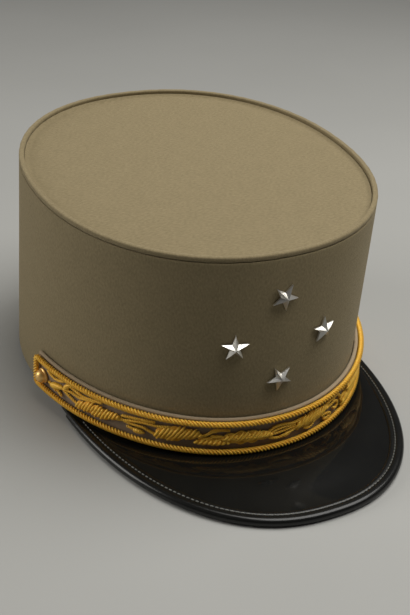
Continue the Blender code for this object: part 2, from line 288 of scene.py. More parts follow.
# Strap: a purplish-brown copy, painted lighter than the drum's cloth to lift the shadow of the gold cord
STRAP_SHADE_LIFTED_DARK = (0.205, 0.150, 0.100)
STRAP_SHADE_LIFTED_LIGHT = (0.290, 0.218, 0.150)
# Strap piping: the same cloth painted lighter, a painted highlight for the top light its round edge
# catches
PIPING_HIGHLIT_DARK = (0.33, 0.255, 0.165)
PIPING_HIGHLIT_LIGHT = (0.43, 0.34, 0.225)


def twill(name, low, high):
    """Woollen twill: ribs across the metres map, broken by the yarns that cross them."""
    made, tree, shader = new_finish(name, 0.88)
    shader.inputs["Specular IOR Level"].default_value = 0.25
    shader.inputs["Sheen Weight"].default_value = 0.12
    shader.inputs["Sheen Roughness"].default_value = 0.45
    shader.inputs["Sheen Tint"].default_value = SHEEN_TINT
    place_on = uv_metres(tree)
    ribs = waves(tree, mapped(tree, place_on, TWILL_ANGLE), TWILL_PITCH, 0.6, 2.0)
    yarns = waves(tree, mapped(tree, place_on, TWILL_ANGLE - YARN_CROSSING), YARN_PITCH)
    weave = mixture(tree, (ribs, 1.0), (yarns, YARN_SHARE))
    patches = mottle(tree, place_on, PATCH_SIZE, 4.0)
    fibres = mottle(tree, mapped(tree, place_on, TWILL_ANGLE, (1.0, 0.5, 1.0)), FIBRE_SIZE)
    paint(tree, shader, mixture(tree, (patches, 0.15), (fibres, 0.60), (weave, 0.25)), low, high)
    bump(tree, shader, weave, TWILL_DEPTH, 0.7)
    return made


tan_twill = twill("tan_twill", TAN_DARK, TAN_LIGHT)
# The strap's copy carries painted light against the gold cord's shadow
strap_twill_painted_light = twill("strap_twill_painted_light", STRAP_SHADE_LIFTED_DARK, STRAP_SHADE_LIFTED_LIGHT)
# The strap piping's copy, painted lighter as a painted highlight
piping_twill_painted_highlight = twill("piping_twill_painted_highlight", PIPING_HIGHLIT_DARK, PIPING_HIGHLIT_LIGHT)
print("twill ribs every", TWILL_PITCH / MM, "mm")

# %% [markdown]
# Gold work is wire wound into a fine spring, called purl, and laid as cord or couched over padding. Its
# surface is partly metal, with tiny rings across it and a darker gold between them. The padding under
# the leaves is a duller yellow yarn.

# %% Gold wire
GOLD_LOW = (0.85, 0.42, 0.03)
GOLD_HIGH = (1.0, 0.66, 0.085)
WIRE_PITCH = 0.30 * MM
WIRE_DEPTH = 0.06 * MM
WIRE_LEAN = 12.0
WIRE_PATCH = 1.6 * MM
YARN_YELLOW_LOW = (0.70, 0.32, 0.02)
YARN_YELLOW_HIGH = (0.90, 0.46, 0.04)


def gold_wire(name, low, high, roughness):
    """Wound wire: rings across the length of each strand, with a slow change of tone along it."""
    made, tree, shader = new_finish(name, roughness, 0.2)
    rings = waves(tree, mapped(tree, uv_metres(tree), WIRE_LEAN), WIRE_PITCH, 0.8, 1.5)
    patches = mottle(tree, object_place(tree), WIRE_PATCH, 3.0)
    paint(tree, shader, mixture(tree, (rings, 0.35), (patches, 0.65)), low, high)
    bump(tree, shader, rings, WIRE_DEPTH, 0.55)
    return made


cord_gold = gold_wire("cord_gold", GOLD_LOW, GOLD_HIGH, 0.42)
leaf_gold = gold_wire("leaf_gold", GOLD_LOW, GOLD_HIGH, 0.38)
pad_gold = gold_wire("padding_yarn", YARN_YELLOW_LOW, YARN_YELLOW_HIGH, 0.8)

# %% [markdown]
# The buttons are gilt brass with a coppery tone, the stars are brushed silver, and the peak is leather
# under many coats of black varnish. The varnish carries the gloss, so it is a coat over a
# rougher base, with the faintest ripple so that reflections are not those of glass.

# %% Metals and varnish
GILT_LOW = (0.90, 0.50, 0.13)
GILT_HIGH = (1.0, 0.68, 0.26)
SILVER_LOW = (0.74, 0.72, 0.67)
SILVER_HIGH = (0.88, 0.86, 0.81)
LEATHER_LOW = (0.0028, 0.0029, 0.0026)
LEATHER_HIGH = (0.0050, 0.0052, 0.0046)
LEATHER_PATCH = 14 * MM
RIPPLE_SIZE = 5 * MM
RIPPLE_DEPTH = 0.05 * MM

def metal(name, roughness, metallic, patch_size, detail, low, high, grain_scale, grain_size, depth):
    """A metal that is a little duller in patches, with fine marks left by turning or brushing."""
    made, tree, shader = new_finish(name, roughness, metallic)
    paint(tree, shader, mottle(tree, object_place(tree), patch_size, detail), low, high)
    grain = mottle(tree, mapped(tree, object_place(tree), scale=grain_scale), grain_size)
    bump(tree, shader, grain, depth, 0.4)
    return made


def patent_leather(name, gloss):
    """Black leather under varnish; gloss is the roughness of the varnish."""
    made, tree, shader = new_finish(name, 0.6)
    shader.inputs["Coat Weight"].default_value = 0.7
    shader.inputs["Coat Roughness"].default_value = gloss
    shader.inputs["Specular IOR Level"].default_value = 0.05
    paint(tree, shader, mottle(tree, object_place(tree), LEATHER_PATCH, 3.0), LEATHER_LOW, LEATHER_HIGH)
    ripple = mottle(tree, object_place(tree), RIPPLE_SIZE)
    raised = bump(tree, shader, ripple, RIPPLE_DEPTH, 0.25)
    tree.links.new(raised, shader.inputs["Coat Normal"])
    return made


button_gilt = metal("gilt_brass", 0.36, 0.55, 2.2 * MM, 3.0, GILT_LOW, GILT_HIGH,
                    (1.0, 1.0, 1.0), 0.5 * MM, 0.02 * MM)
star_silver = metal("bright_silver", 0.35, 0.95, 3.0 * MM, 2.0, SILVER_LOW, SILVER_HIGH,
                    (1.0, 1.0, 0.15), 0.25 * MM, 0.015 * MM)
peak_varnish = patent_leather("patent_leather", 0.09)
binding_varnish = patent_leather("bound_leather", 0.24)

# %% [markdown]
# The floor is a plain pale sheet. It only has to catch the cap's shadow, so its finish is matt with a
# hint of unevenness.

# %% Floor
FLOOR_LOW = (0.345, 0.345, 0.33)
FLOOR_HIGH = (0.375, 0.375, 0.36)
FLOOR_PATCH = 0.25

def add_floor():
    """A large flat square at the height of zero."""
    made, tree, shader = new_finish("floor_paint", 0.75)
    paint(tree, shader, mottle(tree, object_place(tree), FLOOR_PATCH, 3.0), FLOOR_LOW, FLOOR_HIGH)
    corners = FLOOR_SIZE / 2 * np.array([(-1, -1, 0), (1, -1, 0), (1, 1, 0), (-1, 1, 0)])
    mesh = bpy.data.meshes.new("floor")
    mesh.from_pydata(corners, [], [(0, 1, 2, 3)])
    mesh.materials.append(made)
    add_object("floor", mesh)


add_floor()

# %% [markdown]
# Every surface below is a grid of points. This cell turns one or more grids into one mesh, writes the
# metres map that the twill and the wire follow, welds the seams and the poles, and turns the faces
# outwards. A few helpers come with it, which measure a line, read it off, and close an open end.

# %% From grids to pieces
WELD = 1e-6


def circle(sides):
    """Cosines and sines of a closed circle, whose last point repeats the first."""
    turn = np.linspace(0, 2 * math.pi, sides + 1)
    return np.cos(turn), np.sin(turn)


def run_along(line):
    """Length run along a line of points, from nothing at its first."""
    return np.concatenate([[0.0], np.cumsum(np.linalg.norm(np.diff(line, axis=0), axis=-1))])


def read_off(line, run, at):
    """Points of a line at given runs, by straight pieces between its own points."""
    return np.stack([np.interp(at, run, values) for values in line.T], axis=-1)


def lifted(plan, height):
    """Points of a plan, each with its height."""
    return np.concatenate([plan, np.broadcast_to(height, plan.shape[:-1])[..., None]], axis=-1)


def capped(sections):
    """Sections with the first and the last one closed onto their own middles."""
    ends = sections[[0, -1]].mean(axis=1, keepdims=True) + 0 * sections[[0, -1]]
    return np.concatenate([ends[:1], sections, ends[1:]])


def place(points):
    """Turn rows of forward, left and up into world X, Y and Z."""
    return np.stack([points[..., 1], BASE_CENTRE_Y - points[..., 0], points[..., 2]], axis=-1)


def grid_lengths(points, axis):
    """Length run along one axis of each grid, measured on the middle line of the other axis."""
    steps = np.linalg.norm(np.diff(points, axis=axis), axis=-1)
    other = 3 - axis
    middle = np.take(steps, [steps.shape[other] // 2], axis=other)
    run = np.cumsum(middle, axis=axis)
    return np.concatenate([np.zeros_like(np.take(run, [0], axis=axis)), run], axis=axis)


def make_piece(name, grids, finish, replaced=(), maps=None, sharp=None):
    """Make one object from grids of shape count, rows, columns, 3 (or one grid without the count).

    The metres map is the length run down the rows and across the columns, unless one is given.
    """
    points = grids if grids.ndim == 4 else grids[None]
    count, rows, columns = points.shape[:3]
    index = np.arange(count * rows * columns).reshape(count, rows, columns)
    faces = np.stack([index[:, :-1, :-1], index[:, 1:, :-1], index[:, 1:, 1:], index[:, :-1, 1:]], axis=-1)
    faces = faces.reshape(-1, 4)
    if maps is None:
        down = np.broadcast_to(grid_lengths(points, 1), index.shape)
        across = np.broadcast_to(grid_lengths(points, 2), index.shape)
        maps = np.stack([down, across], axis=-1)
    maps = np.broadcast_to(maps, index.shape + (2,)).reshape(-1, 2)
    mesh = bpy.data.meshes.new(name)
    mesh.from_pydata(place(points).reshape(-1, 3), [], faces.tolist())
    layer = mesh.uv_layers.new(name="metres")
    layer.data.foreach_set("uv", maps[faces.ravel()].ravel())
    shell = bmesh.new()
    shell.from_mesh(mesh)
    bmesh.ops.remove_doubles(shell, verts=shell.verts, dist=WELD)
    bmesh.ops.recalc_face_normals(shell, faces=shell.faces)
    open_edges = sum(edge.is_boundary for edge in shell.edges)
    shell.to_mesh(mesh)
    shell.free()
    mesh.materials.append(finish)
    mesh.shade_smooth()
    if sharp is not None:
        mesh.set_sharp_from_angle(angle=math.radians(sharp))
    made = add_object(name, mesh)
    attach(made, "root")
    if replaced:
        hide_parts(*replaced)
    triangles = sum(len(face.vertices) - 2 for face in mesh.polygons)
    print(f"{name}: {triangles} triangles, {open_edges} open edges")
    return made


# %% [markdown]
# The drum is ruled: straight lines run from an oval foot to a smaller oval head that lies further
# forward and slopes to the front. All the cloth, the strap and the stars sit on this one surface, so
# its functions come before any piece. They repeat the sizes of the solids.

# %% The drum's shape
GAP = 0.3 * MM
BASE_LENGTH = 0.208
BASE_WIDTH = 0.168
BASE_ROUNDNESS = 2.04
TOP_SHORTER = 0.023
TOP_NARROWER = 0.001
TOP_LENGTH = BASE_LENGTH - TOP_SHORTER
TOP_WIDTH = BASE_WIDTH - TOP_NARROWER
TOP_ROUNDNESS = 2.15
TOP_FORWARD = 0.0123
BACK_HEIGHT = 0.1165
FRONT_HEIGHT = 0.1041
FRONT_LIFT = 0.0048
FRONT_DIP = 0.0012
WALL = 2.5 * MM
SMALL_TURN = 1e-4
SMALL_STEP = 1e-3


def power(value, exponent):
    """Raise the size of a signed value to a power and keep its sign."""
    return np.sign(value) * np.abs(value) ** exponent


def oval(length, width, roundness, angles):
    """Forward and left places on an ellipse whose exponent is the roundness."""
    forward = length / 2 * power(np.cos(angles), 2 / roundness)
    left = width / 2 * power(np.sin(angles), 2 / roundness)
    return np.stack([forward, left], axis=-1)


def base_line(angles):
    """The base oval seen from above."""
    return oval(BASE_LENGTH, BASE_WIDTH, BASE_ROUNDNESS, angles)


def outward(curve, angles):
    """Unit normals, pointing outwards, of a flat curve that is a function of the angle."""
    return unit(-left_of(curve(angles + SMALL_TURN) - curve(angles - SMALL_TURN)))


def base_height(forward):
    """Height of the base edge: it rises evenly from the back, and bends down a little in front."""
    ahead = np.clip(forward / (BASE_LENGTH / 2), 0, 1)
    return FRONT_LIFT * (forward / BASE_LENGTH + 0.5) - FRONT_DIP * ahead ** 3


def top_height(forward):
    """Height of the crest: it falls evenly from the back to the front."""
    share = (forward - TOP_FORWARD) / TOP_LENGTH + 0.5
    return BACK_HEIGHT + (FRONT_HEIGHT - BACK_HEIGHT) * share


def foot_and_head(angles):
    """The lower and upper ends of the straight lines that the drum's outside is made of."""
    low = base_line(angles)
    high = oval(TOP_LENGTH, TOP_WIDTH, TOP_ROUNDNESS, angles) + np.array([TOP_FORWARD, 0.0])
    return lifted(low, base_height(low[..., 0])), lifted(high, top_height(high[..., 0]))


def drum_rise(angles):
    """Height of the drum from its base edge to its crest at each angle."""
    foot, head = foot_and_head(angles)
    return head[..., 2] - foot[..., 2]


def on_drum(angles, rise, out):
    """Points on the drum, a rise above its base edge and a distance outside its outer face."""
    angles, rise, out = np.broadcast_arrays(angles, rise, out)

    def flat(at):
        foot, head = foot_and_head(at)
        share = rise / (head[..., 2] - foot[..., 2])
        return (foot + share[..., None] * (head - foot))[..., :2]

    foot, _ = foot_and_head(angles)
    return lifted(flat(angles) + outward(flat, angles) * out[..., None], foot[..., 2] + rise)


print("drum height in front", round(float(drum_rise(np.array(0.0))) / MM, 1), "mm")

# %% [markdown]
# The wall is a slab with softened ends, carried once round the drum. The cloth is stretched over a stiff
# core, so it is smooth, with only the slow unevenness of pressed wool. Its two ends meet in one plain
# seam at the back, a shallow groove.

# %% Crown wall
WALL_STATIONS = 420
WALL_ROWS = 70
END_STEPS = 9
END_ROUNDING = 0.3 * MM
RIM_PIPING_DIAMETER = 2.6 * MM
SEAM_DEPTH = 0.45 * MM
SEAM_WIDTH = 0.9 * MM
END_FULLNESS = 0.5
RIM_SEAT = 0.4 * GAP
PRESS_UNEVENNESS = 0.10 * MM

# Columns: waves round the drum, radians for each metre up, phase, share
PRESS_WAVES = ((3, 40, 0.6, 1.0), (5, -65, 2.1, 0.6), (9, 95, 4.0, 0.35))
PRESS_SHARES = sum(row[3] for row in PRESS_WAVES)


def sum_of_waves(table, first, second):
    """Sum of sines over two coordinates: each row holds their two rates, a phase and a share."""
    return sum(share * np.sin(rate * first + other_rate * second + phase)
               for rate, other_rate, phase, share in table)


def add_crown_wall():
    """Carry a slab's outline round the drum: up outside, over, down inside and under."""
    angles = np.linspace(-math.pi, math.pi, WALL_STATIONS + 1)[:, None]
    half = WALL / 2
    top = drum_rise(angles) - RIM_PIPING_DIAMETER - RIM_SEAT
    bend = np.linspace(0, math.pi, END_STEPS)
    side = np.linspace(0, 1, WALL_ROWS)
    share = np.concatenate([side, np.ones(END_STEPS), side[::-1], np.zeros(END_STEPS), [0]])
    zero = np.zeros(WALL_ROWS)
    end_out, end_up = half * power(np.cos(bend), END_FULLNESS), END_ROUNDING * np.sin(bend)
    out = np.concatenate([zero, end_out - half, zero - WALL, -end_out - half, [0]])
    rise = END_ROUNDING + share * (top - 2 * END_ROUNDING)
    rise = rise + np.concatenate([zero, end_up, zero, -end_up, [0]])
    away = (math.pi - np.abs(angles)) * BASE_LENGTH / 2
    seam = SEAM_DEPTH * np.exp(-(away / SEAM_WIDTH) ** 2)
    uneven = PRESS_UNEVENNESS * sum_of_waves(PRESS_WAVES, angles, rise) / PRESS_SHARES
    uneven = uneven * np.sin(math.pi * share)
    points = on_drum(angles, rise, out + (uneven - seam) * (out > -half))
    maps = np.meshgrid(run_along(points[:, 0]), run_along(points[0]), indexing="ij")
    return make_piece("crown_wall_cloth", points, tan_twill, ("crown_wall",),
                      np.stack(maps, axis=-1))


add_crown_wall()

# %% [markdown]
# A rolled piping closes the top edge: a strip of the same cloth sewn round a thin cord. It is squared
# where it is pressed, lies almost flush with the wall, and shows as a thin shadow line above it.

# %% Rim piping
PIPING_STATIONS = 420
PIPING_SIDES = 20
PIPING_PROUD = 0.02 * MM
SQUARENESS = 3.2

# Columns: waves round the drum, none across it, phase, share of the radius
PIPING_WAVES = ((57, 0, 0.0, 0.03), (91, 0, 1.0, 0.02))


def add_rim_piping():
    """Carry a squared circle round the crest: along each ray its powers of SQUARENESS add up to one."""
    angles = np.linspace(-math.pi, math.pi, PIPING_STATIONS + 1)[:, None]
    across, lift = circle(PIPING_SIDES)
    stretch = (np.abs(across) ** SQUARENESS + np.abs(lift) ** SQUARENESS) ** (-1 / SQUARENESS)
    across, lift = across * stretch, lift * stretch
    radius = RIM_PIPING_DIAMETER / 2
    swell = 1 + sum_of_waves(PIPING_WAVES, angles, 0)
    rise = drum_rise(angles) - radius + radius * swell * lift
    points = on_drum(angles, rise, radius * swell * across - radius + PIPING_PROUD)
    return make_piece("rim_piping_roll", points, tan_twill, ("rim_piping",))


add_rim_piping()

# %% [markdown]
# The top is a flat disc of cloth over board, sunk inside the piping. At its edge the cloth turns up
# into the seam of the piping. Its grain runs straight from front to back, and so its map is simply the
# place seen from above.

# %% Crown top
DISC_STATIONS = 360
DISC_RINGS = 46
TOP_SINK = 1.8 * MM
TOP_THICKNESS = 2.0 * MM
UPTURN_HEIGHT = 1.1 * MM
UPTURN_WIDTH = 1.3 * MM
DISC_UNEVENNESS = 0.18 * MM
DISC_CROWDING = 2.4
DISC_FADE = 10 * MM

# Columns: radians for each metre forward and to the left, phase, share
DISC_WAVES = ((60, 25, 0.0, 1.0), (-40, 95, 1.0, 0.6))


def add_crown_top():
    """Rings from the middle to the edge, then down the side and back under to the middle.

    The rings crowd towards the edge, where the cloth turns up: their share is one less a power of what
    is left.
    """
    angles = np.linspace(-math.pi, math.pi, DISC_STATIONS + 1)
    sunk = TOP_SINK + RIM_PIPING_DIAMETER / 2
    edge = on_drum(angles, drum_rise(angles) - sunk, -WALL - GAP)
    middle = np.array([TOP_FORWARD, 0.0, top_height(TOP_FORWARD) - sunk])
    share = 1 - (1 - np.linspace(0, 1, DISC_RINGS)) ** DISC_CROWDING
    flat = middle + share[:, None, None] * (edge - middle)
    away = (1 - share)[:, None] * np.linalg.norm(edge - middle, axis=-1)
    uneven = sum_of_waves(DISC_WAVES, flat[..., 0], flat[..., 1])
    top = flat.copy()
    top[..., 2] += DISC_UNEVENNESS * uneven * np.clip(away / DISC_FADE, 0, 1)
    top[..., 2] += UPTURN_HEIGHT * np.exp(-(away / UPTURN_WIDTH) ** 2)
    points = np.concatenate([top, flat[::-1] - np.array([0, 0, TOP_THICKNESS])])
    return make_piece("crown_top_cloth", points, tan_twill, ("crown_top",), points[..., :2])


add_crown_top()

# %% [markdown]
# The strap's own coordinates are lengths from the front, heights above its lower edge and distances
# outside the drum. Its lower edge follows the base in front and climbs a little towards its ends. The
# gold work is drawn in these coordinates and then laid on the drum.

# %% The strap's shape
STRAP_LENGTH = 0.268
STRAP_HEIGHT = 0.0163
STRAP_THICKNESS = 2.0 * MM
STRAP_RISE = 0.0042
STRAP_PIPING_DIAMETER = 2.0 * MM
CORD_DIAMETER = 3.0 * MM
CORD_OVERHANG = 2.0 * MM
CORD_BEND = 2.0 * MM
EDGE_SAMPLES = 1441
BORDER_HEIGHT = STRAP_HEIGHT + CORD_OVERHANG
FACE = GAP + max(STRAP_THICKNESS, STRAP_PIPING_DIAMETER) + GAP


def strap_angles(lengths):
    """Angles at which the base edge reaches the given lengths from the front."""
    half = np.linspace(0, math.pi, EDGE_SAMPLES)
    return np.sign(lengths) * np.interp(np.abs(lengths), run_along(base_line(half)), half)


def on_strap(lengths, up, out):
    """Points of the strap: length from the front, height above its lower edge, distance outside."""
    angles = strap_angles(np.asarray(lengths, dtype=float))
    return on_drum(angles, STRAP_RISE * np.sin(angles) ** 2 + up, out)


def laid(drawn):
    """Lay a drawing in strap coordinates (length, height, distance outside its face) on the drum."""
    return on_strap(drawn[..., 0], drawn[..., 1], FACE + drawn[..., 2])


# %% [markdown]
# The strap itself is a cloth band with softly rounded edges, and its upper edge is finished with a thin
# rolled piping like that of the crown. The band's cloth carries painted light against the cord's shadow,
# and the piping's cloth is painted lighter than the crown's, a painted highlight on its rounded top.

# %% Strap and its piping
STRAP_STATIONS = 300
STRAP_EDGE_STEPS = 7
STRAP_ROWS = 16
STRAP_PIPING_SIDES = 16


def add_strap():
    """Carry a slab's outline along the band and close both ends with a point inside it."""
    thick = STRAP_THICKNESS / 2
    bend = np.linspace(0, math.pi, STRAP_EDGE_STEPS)
    rows = np.linspace(thick, STRAP_HEIGHT - thick, STRAP_ROWS)
    one = np.ones(STRAP_ROWS)
    round_up = thick * np.sin(bend)
    up = np.concatenate([rows, rows[-1] + round_up, rows[::-1], thick - round_up, rows[:1]])
    out = thick * np.concatenate([one, np.cos(bend), -one, -np.cos(bend), [1]])
    lengths = np.linspace(-STRAP_LENGTH / 2, STRAP_LENGTH / 2, STRAP_STATIONS)
    lengths = np.pad(lengths, 1, mode="edge")[:, None]
    size = np.pad(np.ones(STRAP_STATIONS), 1)[:, None]
    middle = STRAP_HEIGHT / 2
    points = on_strap(lengths + 0 * up, middle + size * (up - middle), GAP + thick + size * out)
    # The band's cloth is painted lighter, against the shadow of the gold cord
    return make_piece("strap_cloth", points, strap_twill_painted_light, ("strap",))


def add_strap_piping():
    """Carry a circle along the band's upper edge, with its ends rounded off."""
    half = STRAP_LENGTH / 2
    radius = STRAP_PIPING_DIAMETER / 2
    across, lift = circle(STRAP_PIPING_SIDES)
    turn = np.linspace(-math.pi / 2, math.pi / 2, STRAP_STATIONS)
    lengths = half * np.sin(turn)[:, None]
    size = radius * np.clip((half - np.abs(lengths)) / radius, 0, 1) ** 0.5
    height = STRAP_HEIGHT + GAP + radius + size * lift
    points = on_strap(lengths + 0 * lift, height, GAP + radius + size * across)
    # The piping's cloth is painted lighter, a painted highlight on its rounded top
    return make_piece("strap_piping_roll", points, piping_twill_painted_highlight, ("strap_piping",))


add_strap()
add_strap_piping()

# %% [markdown]
# Round the strap's edge runs a gold cord of three plies twisted together. Each ply is a tube carried
# along a helix, and the helix makes a whole number of turns round the closed loop, so it meets itself.

# %% Border cord
PLIES = 3
LAY_LENGTH = 5.0 * MM
PLY_SHARE = 0.47
CORD_STEPS_A_TURN = 14
PLY_SIDES = 8
CORNER_STEPS = 12


def border_loop(samples):
    """The cord's middle line as evenly spaced rows of length and height, and its whole length.

    It is a rectangle with tight quarter circles at its corners. Its lower side lies just inside the
    strap's edge, and its upper side stands over the edge, in front of the piping.
    """
    radius = CORD_DIAMETER / 2
    end, low, high = STRAP_LENGTH / 2 - radius, radius, BORDER_HEIGHT - radius
    turn = np.linspace(math.pi / 2, 0, CORNER_STEPS)
    corner = CORD_BEND - CORD_BEND * np.stack([np.sin(turn), np.cos(turn)], axis=-1)
    lower_left = np.array([-end, low]) + corner
    half_loop = np.concatenate([lower_left, lower_left[::-1] * np.array([-1, 1])])
    upper = half_loop[::-1] * np.array([1, -1]) + np.array([0, low + high])
    loop = np.concatenate([half_loop, upper, half_loop[:1]])
    run = run_along(loop)
    return read_off(loop, run, np.linspace(0, run[-1], samples)), run[-1]


def add_border_cord():
    """Three helical tubes round the loop: each is a circle carried along its own helix."""
    _, whole = border_loop(2)
    turns = round(whole / LAY_LENGTH)
    stations = turns * CORD_STEPS_A_TURN + 1
    middle, _ = border_loop(stations)
    ahead = np.roll(middle[:-1], -1, axis=0) - np.roll(middle[:-1], 1, axis=0)
    sideways = left_of(unit(np.concatenate([ahead, ahead[:1]])))
    ply = CORD_DIAMETER / 2 * PLY_SHARE
    reach = CORD_DIAMETER / 2 - ply
    twist = np.linspace(0, 2 * math.pi * turns, stations)
    across, lift = circle(PLY_SIDES)
    plies = []
    for number in range(PLIES):
        phase = twist + number * 2 * math.pi / PLIES
        aside = reach * np.cos(phase)[:, None] + ply * across
        raised = CORD_DIAMETER / 2 + reach * np.sin(phase)[:, None] + ply * lift
        flat = middle[:, None, :] + aside[..., None] * sideways[:, None, :]
        plies.append(laid(lifted(flat, raised)))
    print("cord length", round(whole, 4), "m in", turns, "turns")
    return make_piece("border_cord_twist", np.stack(plies), cord_gold, ("border_cord",))


add_border_cord()

# %% [markdown]
# The oak embroidery is a garland of leaves, buds and stems. Each leaf is satin work: short lengths of
# purl laid side by side at a slant, each from one lobed edge to the other, arched over yellow padding.
# The stems are thin twisted purl, and some leaves have a midrib and a wavy strand along each edge.

# %% Drawing with purl
PURL_SIDES = 8
PURL_STATIONS = 13
PURL_RADIUS = 0.70 * MM
PURL_PITCH = 1.85 * MM
PURL_SEAT = 0.7
LEAF_SLANT = 48.0
PADDING = 1.2 * MM
PADDING_FULLNESS = 0.8
PAD_ROWS = 40
PAD_SIDES = 16
PAD_SHARE = 0.94
PAD_MIDDLE = 0.5
PAD_SWELL = 0.4
LOBE_DEPTH = 0.45
LOBE_PHASE = 0.4
LEAF_LEAN = 0.75
SWELL_FULLNESS = 0.6
ROPE_STATIONS = 120
ROPE_PLY_SHARE = 0.56
TINY = 1e-12


def tubes(paths, radii, sides):
    """Closed tubes round many paths at once, in strap coordinates.

    Paths have the shape count, stations, 3, and radii count, stations. Each section lies across its path,
    turned so that its second axis leans away from the strap. Where the radii fall to nothing, the end
    sections shrink to a point.
    """
    along = np.gradient(paths, axis=1)
    along /= np.linalg.norm(along, axis=-1, keepdims=True) + TINY
    aside = np.cross(along, np.array([0.0, 0.0, 1.0]))
    aside /= np.linalg.norm(aside, axis=-1, keepdims=True) + TINY
    lean = np.cross(aside, along)
    across, lift = circle(sides)
    ring = across[:, None] * aside[..., None, :] + lift[:, None] * lean[..., None, :]
    return paths[..., None, :] + radii[..., None, None] * ring


def round_ends(stations):
    """A radius share that is full along a path and falls to nothing at its two ends."""
    return (1 - np.linspace(-1, 1, stations) ** 8) ** 0.5


def leaf_width(share, lobes):
    """Half width of an oak leaf as a share of its widest: a long swell cut by round lobes."""
    swell = np.sin(math.pi * np.clip(share, 0, 1) ** LEAF_LEAN) ** SWELL_FULLNESS
    return swell * (1 - LOBE_DEPTH + LOBE_DEPTH * np.abs(np.sin(math.pi * lobes * share + LOBE_PHASE)))


def leaf_frame(row, share):
    """Midrib points of a leaf, the directions along and across it, and its half widths there.

    The midrib is a straight run bent sideways by the square of the share.
    """
    start, up, direction, length, half_width, curl, lobes, _ = row
    turn = math.radians(direction)
    ahead = np.array([math.cos(turn), math.sin(turn)])
    run = share[:, None]
    spine = MM * np.array([start, up]) + MM * length * (run * ahead + curl * run ** 2 * left_of(ahead))
    ahead = unit(np.gradient(spine, axis=0))
    return spine, ahead, left_of(ahead), MM * half_width * leaf_width(share, lobes)[:, None]


def leaf(row):
    """Satin purls of one leaf: each crosses the midrib at a slant, and its height is a cosine arch."""
    count = int(row[3] * MM / PURL_PITCH)
    spine, ahead, aside, half_width = leaf_frame(row, (np.arange(count) + 0.5) / count)
    slant = math.radians(LEAF_SLANT)
    way = math.cos(slant) * ahead + math.sin(slant) * aside
    step = np.linspace(-1, 1, PURL_STATIONS)
    plan = spine[:, None] + step[:, None] * (half_width * way / math.sin(slant))[:, None]
    arch = PURL_RADIUS * PURL_SEAT + PADDING * np.cos(math.pi / 2 * step) ** PADDING_FULLNESS
    radii = np.broadcast_to(PURL_RADIUS * round_ends(PURL_STATIONS), plan.shape[:2])
    return tubes(lifted(plan, arch), radii, PURL_SIDES)


def padding(row):
    """Yellow padding under one leaf: flat ovals from edge to edge, closed at both ends."""
    spine, _, aside, half_width = leaf_frame(row, np.linspace(0.03, 0.97, PAD_ROWS))
    around = np.linspace(0, 2 * math.pi, PAD_SIDES, endpoint=False)
    plan = spine[:, None] + (PAD_SHARE * half_width * np.cos(around))[..., None] * aside[:, None]
    return capped(lifted(plan, (PADDING + PURL_RADIUS) * (PAD_MIDDLE + PAD_SWELL * np.sin(around))))[None]


def smooth_through(run, points, at):
    """A curve through points at given runs: cubic pieces with slopes taken from the neighbours."""
    slope = np.gradient(points, run, axis=0)
    piece = np.clip(np.searchsorted(run, at, side="right") - 1, 0, len(run) - 2)
    width = np.diff(run)[piece][:, None]
    share = (at - run[piece])[:, None] / width
    start, end = points[piece], points[piece + 1]
    rise_in, rise_out = slope[piece] * width, slope[piece + 1] * width
    cubic = (2 * start + rise_in - 2 * end + rise_out) * share ** 3
    square = (3 * end - 3 * start - 2 * rise_in - rise_out) * share ** 2
    return cubic + square + rise_in * share + start


def twisted(route, radius, lay, lift=0.0):
    """Two plies twisted round a route of length and height points."""
    run = run_along(route)
    even = np.linspace(0, run[-1], ROPE_STATIONS)
    smooth = smooth_through(run, route, even)
    aside = left_of(unit(np.gradient(smooth, axis=0)))
    ply = radius * ROPE_PLY_SHARE
    twist = 2 * math.pi * even / lay + np.array([[0.0], [math.pi]])
    plan = smooth + (radius - ply) * np.cos(twist)[..., None] * aside
    paths = lifted(plan, lift + radius + (radius - ply) * np.sin(twist))
    ends = np.clip(np.minimum(even, run[-1] - even) / radius, 0, 1) ** 0.5
    return tubes(paths, np.broadcast_to(ply * ends, paths.shape[:2]), PURL_SIDES)


def bud(row):
    """A spindle whose radius swells along its axis and ripples once for each ring of purl."""
    start, up, direction, length, width, rings = row
    turn = math.radians(direction)
    share = np.linspace(0, 1, BUD_STATIONS)
    ahead = np.array([math.cos(turn), math.sin(turn)])
    plan = MM * np.array([start, up]) + MM * length * (share - 0.5)[:, None] * ahead
    swell = np.sin(math.pi * share ** BUD_LEAN) ** SWELL_FULLNESS
    radius = MM * width / 2 * swell * (1 + BUD_RIPPLE * np.cos(2 * math.pi * rings * share))
    return tubes(lifted(plan, MM * width / 2 * BUD_SEAT)[None], radius[None], BUD_SIDES)


# %% [markdown]
# The arrangement follows the real one where it shows, leaf by leaf. The tables hold places along and up
# the strap and sizes, all in millimetres, and directions in degrees.

# %% Embroidery
BUD_STATIONS = 22
BUD_SIDES = 12
BUD_LEAN = 0.85
BUD_RIPPLE = 0.10
BUD_SEAT = 0.55
STEM_RADIUS = 0.78 * MM
STEM_LAY = 2.4 * MM
LEAF_ROPE_RADIUS = 0.5 * MM
LEAF_ROPE_LAY = 1.9 * MM
EDGE_ROPE_SEAT = 0.4 * PADDING

